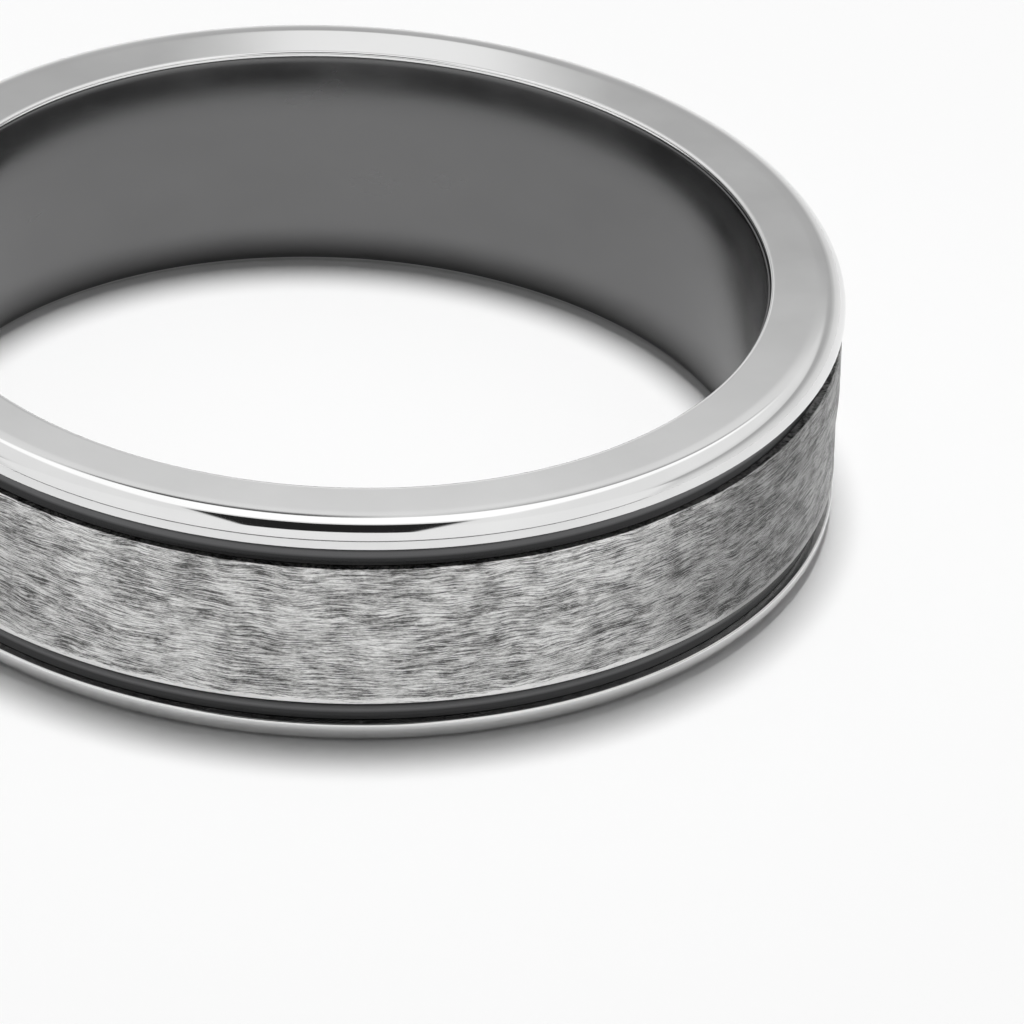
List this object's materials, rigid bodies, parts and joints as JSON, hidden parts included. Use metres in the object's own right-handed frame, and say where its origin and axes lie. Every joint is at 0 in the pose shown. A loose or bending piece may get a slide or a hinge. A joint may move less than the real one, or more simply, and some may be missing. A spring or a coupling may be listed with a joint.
{
  "type": "wedding band",
  "caption": "Comfort-fit wedding band built as a bonded stack: dark liner sleeve, polished rims, dark groove rings and a hammered, brushed centre band.",
  "frame": {"origin": "centre of the band's lower end face, on its axis, at the surface that the band lies on", "axes": "+Z along the band's axis, up from the surface; X and Y are any two directions across the round band"},
  "size_m": [0.0238, 0.0238, 0.0058],
  "materials": {
    "bright_polish": "mirror polished grey-white metal",
    "dark_polish": "mirror polished dark grey metal",
    "hammered_brush": "lightly hammered, then wire brushed round the circumference"
  },
  "bodies": {
    "root": {"comfort_sleeve": "dark_polish", "upper_rim": "bright_polish", "lower_rim": "bright_polish", "upper_groove_ring": "dark_polish", "lower_groove_ring": "dark_polish", "centre_band": "hammered_brush"}
  },
  "joints": []
}
